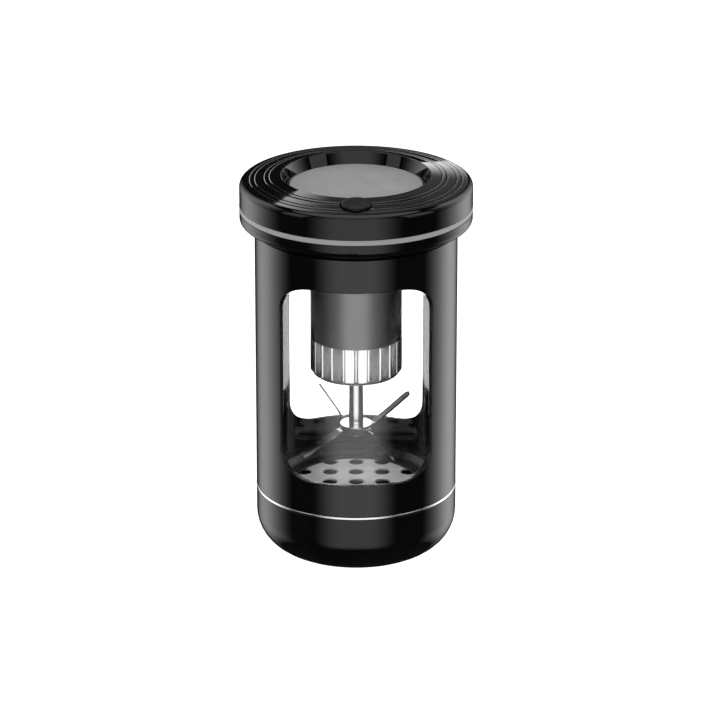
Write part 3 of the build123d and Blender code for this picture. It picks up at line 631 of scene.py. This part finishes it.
piece("collar", turned([
    (HOUSING_R, collar_low.z, COLLAR_ROUND), (HOUSING_R, collar_low.z + COLLAR_PLAIN, 0),
    (HOUSING_R, collar_high.z, 0.1 * MM), (COLLAR_BORE_R, collar_high.z, 0),
    (COLLAR_BORE_R, collar_low.z + COLLAR_PLATE, 0), (SHAFT_HOLE_R, collar_low.z + COLLAR_PLATE, 0),
    (SHAFT_HOLE_R, collar_low.z, 0.2 * MM)], steps=FLUTES * 24, swell=fluted),
    "fluted_collar", sharp=40, even=False)

# ==== drive shaft, blades, washer and nut ====
SHAFT_R = shaft_high.x
STUD_R = 1.4 * MM
piece("spindle", turned([
    (0, shaft_low.z, 0), (STUD_R, shaft_low.z, 0.3 * MM), (STUD_R, washer_high.z, 0),
    (SHAFT_R, washer_high.z, 0.15 * MM), (SHAFT_R, shaft_high.z, 0), (0, shaft_high.z, 0)],
    steps=SMALL_STEPS), "drive_shaft")
piece("hub_washer", turned([
    (STUD_R, washer_low.z, 0), (washer_high.x, washer_low.z, 0.1 * MM),
    (washer_high.x, washer_high.z, 0.1 * MM), (STUD_R, washer_high.z, 0)],
    steps=SMALL_STEPS), "blade_washer")


def hexagonal(angle, radius, height):
    """A nut's six flats, with its corners turned off at both ends."""
    if radius < 2 * MM:
        return radius
    side = (angle + radians(30)) % radians(60) - radians(30)
    return min(radius, nut_high.y / cos(side))


NUT_R = 3.0 * MM
NUT_CONE = (0.35 * MM, 0.22 * MM)        # in from the corners and down from the ends
piece("hub_nut", turned([
    (STUD_R, nut_low.z, 0), (NUT_R - NUT_CONE[0], nut_low.z, 0), (NUT_R, nut_low.z + NUT_CONE[1], 0),
    (NUT_R, nut_high.z - NUT_CONE[1], 0), (NUT_R - NUT_CONE[0], nut_high.z, 0), (STUD_R, nut_high.z, 0)],
    steps=144, swell=hexagonal), "blade_nut", even=False)

BLADE_THICK = 0.6 * MM
HUB_R = washer_high.x
KNEE_R = 5.9 * MM
KNEE_HALF = 1.0 * MM
TIP_R = 18.7 * MM
ARM_UP = 6.6 * MM
ARM_DOWN = 5.0 * MM
BLADE_HALF = 1.4 * MM
GROUND = 0.7 * MM        # width of the ground bevel along a cutting edge
CREST = 0.08 * MM        # thickness left at a cutting edge


def arm_rings(hub_middle, azimuth, rise, lean):
    """Cross-sections of one blade arm, from the axis to its rounded tip, each with its UV lengths."""
    incline = atan2(rise, TIP_R - KNEE_R)
    length = KNEE_R + hypot(rise, TIP_R - KNEE_R)
    tip_from = length - BLADE_HALF
    stations = [HUB_R * 0.98 * sin(pi / 2 * k / 12) for k in range(13)]
    stations += [HUB_R + (KNEE_R + KNEE_HALF - HUB_R) * k / 10 for k in range(1, 11)]
    reach = stations[-1]
    stations += [reach + (tip_from - reach) * k / 8 for k in range(1, 9)]
    stations += [tip_from + BLADE_HALF * sin(pi / 2 * k / 10) for k in range(1, 10)]
    rings, lengths = [], []
    x = z = before = 0.0
    for s in stations:
        bent = incline * ease((s - KNEE_R + KNEE_HALF) / (2 * KNEE_HALF))
        turn = radians(lean) * ease((s - KNEE_R + KNEE_HALF) / (3 * KNEE_HALF))
        middle_bend = incline * ease(((s + before) / 2 - KNEE_R + KNEE_HALF) / (2 * KNEE_HALF))
        x += (s - before) * cos(middle_bend)
        z += (s - before) * sin(middle_bend)
        before = s
        half = BLADE_HALF if s < tip_from else sqrt(max(0.0, BLADE_HALF ** 2 - (s - tip_from) ** 2))
        if s < HUB_R:
            half = (half ** 8 + sqrt(HUB_R ** 2 - s ** 2) ** 8) ** (1 / 8)
        ground = min(GROUND, half * 0.8) * ease((s - KNEE_R) / (3 * MM))
        keep = BLADE_THICK - (BLADE_THICK - CREST) * ease((s - KNEE_R) / (3 * MM))
        small = min(0.08 * MM, half / 3)
        edge = max(ground, small)
        section = [(-half, -BLADE_THICK / 2 + small), (-half + small, -BLADE_THICK / 2),
                   (half - small, -BLADE_THICK / 2), (half, -BLADE_THICK / 2 + min(small, keep / 2)),
                   (half, -BLADE_THICK / 2 + max(keep - small, keep / 2)), (half - edge, BLADE_THICK / 2),
                   (-half + small, BLADE_THICK / 2), (-half, BLADE_THICK / 2 - small)]
        along = Vector((cos(bent), 0, sin(bent)))
        level = Vector((0, 1, 0))
        face = along.cross(level)
        side = level * cos(turn) + face * sin(turn)
        up = face * cos(turn) - level * sin(turn)
        ring = []
        for v, n in section:
            p = Vector((x, 0, z)) + side * v + up * n
            ring.append(Vector((p.x * cos(azimuth) - p.y * sin(azimuth),
                                p.x * sin(azimuth) + p.y * cos(azimuth), p.z + hub_middle)))
        rings.append(ring)
        lengths.append([(s, v) for v, n in section])
    return rings, lengths


def blade(name, cad_name, hub_low, azimuth, pitch):
    """A pressed strip: one arm bent up at azimuth, the opposite one down, with ground cutting edges."""
    mesh = bmesh.new()
    grain = mesh.loops.layers.uv.new("length")
    for turn, rise, lean in ((0, ARM_UP, pitch), (180, -ARM_DOWN, -pitch)):
        loops, lengths = arm_rings(hub_low + BLADE_THICK / 2, radians(azimuth + turn), rise, lean)
        rings = bridged(mesh, loops)
        spot = {v: uv for ring, uvs in zip(rings, lengths) for v, uv in zip(ring, uvs)}
        mesh.faces.new(rings[-1])
        for face in mesh.faces:
            for corner in face.loops:
                if corner.vert in spot:
                    corner[grain].uv = spot[corner.vert]
    bmesh.ops.remove_doubles(mesh, verts=mesh.verts, dist=MM / 10000)
    return piece(name, mesh, cad_name, sharp=24)


blade("cutter_low", "lower_blade", nut_high.z, 35, 0)
blade("cutter_high", "upper_blade", washer_low.z - BLADE_THICK, 125, 50)


# ==== stage: floor, pale backdrop and the soft lights round it ====
def glow(name, strength, fade=None, least=0.0):
    """A light-giving material; fade is the share of a card's width and height over which it dies away.

    least is the share of the strength that is left where it has died away.
    """
    material = bpy.data.materials.new(name)
    material.use_nodes = True
    tree = material.node_tree
    tree.nodes.clear()
    light = node(tree, "ShaderNodeEmission", Strength=strength)
    out = node(tree, "ShaderNodeOutputMaterial")
    tree.links.new(light.outputs["Emission"], out.inputs["Surface"])
    if fade:
        where = node(tree, "ShaderNodeTexCoord")
        split = node(tree, "ShaderNodeSeparateXYZ")
        tree.links.new(where.outputs["UV"], split.inputs["Vector"])
        level = None
        for axis, (start, end) in zip("XY", fade):
            for share, turned_round in ((start, False), (end, True)):
                if not share:
                    continue
                rise = node(tree, "ShaderNodeMapRange", interpolation_type="SMOOTHSTEP",
                            From_Min=1.0 if turned_round else 0.0,
                            From_Max=1.0 - share if turned_round else share)
                tree.links.new(split.outputs[axis], rise.inputs["Value"])
                if level is None:
                    level = rise.outputs["Result"]
                else:
                    both = node(tree, "ShaderNodeMath", operation="MULTIPLY")
                    tree.links.new(level, both.inputs[0])
                    tree.links.new(rise.outputs["Result"], both.inputs[1])
                    level = both.outputs["Value"]
        scaled = node(tree, "ShaderNodeMath", operation="MULTIPLY_ADD")
        tree.links.new(level, scaled.inputs[0])
        scaled.inputs[1].default_value = strength * (1 - least)
        scaled.inputs[2].default_value = strength * least
        tree.links.new(scaled.outputs["Value"], light.inputs["Strength"])
    return material


def staged(name, points, faces, material, uvs=None):
    """A flat-faced piece of the stage."""
    data = bpy.data.meshes.new(name)
    data.from_pydata(points, [], faces)
    if uvs:
        layer = data.uv_layers.new(name="card")
        for loop in data.loops:
            layer.data[loop.index].uv = uvs[loop.vertex_index]
    data.materials.append(material)
    made = bpy.data.objects.new(name, data)
    bpy.context.scene.collection.objects.link(made)
    return made


def hide_from(made, *rays):
    """Keep a piece of the stage out of sight of some kinds of ray."""
    for ray in rays:
        setattr(made, f"visible_{ray}", False)


CARD_DISTANCE = 1.3


def card(name, azimuths, heights, strength, fade, distance=CARD_DISTANCE):
    """An upright curved softbox. Azimuth 0 is the camera's side, and 90 degrees is +X."""
    steps = 24
    points, uvs, faces = [], [], []
    for k in range(steps + 1):
        a = radians(azimuths[0] + (azimuths[1] - azimuths[0]) * k / steps)
        for row, height in enumerate(heights):
            points.append((distance * sin(a), -distance * cos(a), height))
            uvs.append((k / steps, row))
    for k in range(steps):
        faces.append((2 * k, 2 * k + 2, 2 * k + 3, 2 * k + 1))
    made = staged(name, points, faces, glow(name, strength, fade), uvs)
    hide_from(made, "camera")
    return made


def ray_point(azimuth, elevation, distance):
    """A point that far behind the object, with azimuth from +Y towards +X, seen from the lid's top."""
    a, e = radians(azimuth), radians(elevation)
    return Vector((sin(a) * cos(e), cos(a) * cos(e), sin(e))) * distance + Vector((0, 0, crown))


STUDIO = 4.0             # radius of the floor and the backdrop
rim_points = [(STUDIO * cos(tau * k / 64), STUDIO * sin(tau * k / 64), -0.05 * MM) for k in range(64)]
floor_glow = glow("floor_pale", 1.2)
tree = floor_glow.node_tree
matt = node(tree, "ShaderNodeBsdfDiffuse", Color=(0.20, 0.20, 0.20, 1.0))
add = node(tree, "ShaderNodeAddShader")
tree.links.new(tree.nodes["Emission"].outputs["Emission"], add.inputs[0])
tree.links.new(matt.outputs["BSDF"], add.inputs[1])
tree.links.new(add.outputs["Shader"], tree.nodes["Material Output"].inputs["Surface"])
floor = staged("floor", rim_points, [tuple(range(64))], floor_glow)
hide_from(floor, "glossy", "shadow", "transmission")
dome_mesh = bmesh.new()
bmesh.ops.create_uvsphere(dome_mesh, u_segments=48, v_segments=24, radius=STUDIO)
dome_data = bpy.data.meshes.new("backdrop")
dome_mesh.to_mesh(dome_data)
dome_mesh.free()
dome_glow = glow("backdrop_pale", 1.3)
for quiet in (floor_glow, dome_glow):
    quiet.cycles.emission_sampling = "NONE"
dome_data.materials.append(dome_glow)
dome = bpy.data.objects.new("backdrop", dome_data)
bpy.context.scene.collection.objects.link(dome)
hide_from(dome, "glossy", "shadow", "transmission")
sheet_points = [(STUDIO * x, STUDIO * y, -MM) for x, y in ((-1, 0), (1, 0), (1, 1), (-1, 1))]
sheet_points += [(STUDIO * x, STUDIO * 0.9, STUDIO * z)
                 for x, z in ((-1, 1), (1, 1), (1, -0.1), (-1, -0.1))]
behind = staged("behind_sheet", sheet_points, [(0, 1, 2, 3), (4, 5, 6, 7)], glow("behind_sheet", 3.1))
hide_from(behind, "camera", "glossy", "shadow", "diffuse")

card("softbox_left", (-165, -76), (-1.3, 1.6), 1.85, ((0.5, 0.5), (0.26, 0.1)))
card("softbox_right", (80, 168), (-1.3, 1.6), 2.05, ((0.5, 0.5), (0.26, 0.1)))
card("front_fill", (-52, 50), (-1.3, 2.2), 1.25, ((0.345, 0.345), (0.16, 0.35)))
for side in (-1, 1):
    card(f"upper_fill_{side}", (side * 40, side * 95), (0.1, 1.8), 1.1, ((0, 0.3), (0.2, 0.3)), 1.4)

OVERHEAD_R = 0.75
overhead_points = [(OVERHEAD_R * cos(tau * k / 32), OVERHEAD_R * sin(tau * k / 32), 1.3) for k in range(32)]
overhead = staged("overhead", overhead_points, [tuple(range(32))], glow("overhead", 1.6))
hide_from(overhead, "camera", "diffuse")


def back_card(name, corners, strength, fade=None, least=0.0):
    """A flat card behind the object, between four (azimuth, elevation) directions."""
    made = staged(name, [tuple(ray_point(a, e, 1.5)) for a, e in corners], [(0, 1, 2, 3)],
                  glow(name, strength, fade, least), [(0, 0), (1, 0), (1, 1), (0, 1)])
    hide_from(made, "camera")


back_card("back_card", ((6.5, 5.7), (-11.1, 33.6), (-4.8, 37.6), (12.9, 9.7)), 2.7, ((0, 0), (0, 1.0)), 0.09)
back_card("back_fill", ((12.9, 9.7), (-4.8, 37.6), (2.4, 42.1), (20.1, 14.2)), 0.24)
hide_from(card("rear_glow", (163, 197), (-0.1, 0.25), 0.06, ((0.4, 0.4), (0.3, 0.5))), "transmission")

world = bpy.data.worlds.new("studio_dark")
world.use_nodes = True
world.node_tree.nodes["Background"].inputs["Color"].default_value = (1, 1, 1, 1)
world.node_tree.nodes["Background"].inputs["Strength"].default_value = 0.018
bpy.context.scene.world = world

# ==== camera ====
CAMERA_LENS = 205.0
CAMERA_DISTANCE = 1.1515
CAMERA_ELEVATION = radians(20.6)
AIM = Vector((0.0001, 0, 0.05704))
lens = bpy.data.cameras.new("camera")
lens.lens = CAMERA_LENS
lens.sensor_width = 36
lens.clip_start, lens.clip_end = 0.05, 20
camera = bpy.data.objects.new("camera", lens)
camera.location = AIM + Vector((0, -cos(CAMERA_ELEVATION), sin(CAMERA_ELEVATION))) * CAMERA_DISTANCE
camera.rotation_euler = (pi / 2 - CAMERA_ELEVATION, 0, 0)
bpy.context.scene.collection.objects.link(camera)
bpy.context.scene.camera = camera
bpy.context.scene.view_settings.view_transform = "Standard"
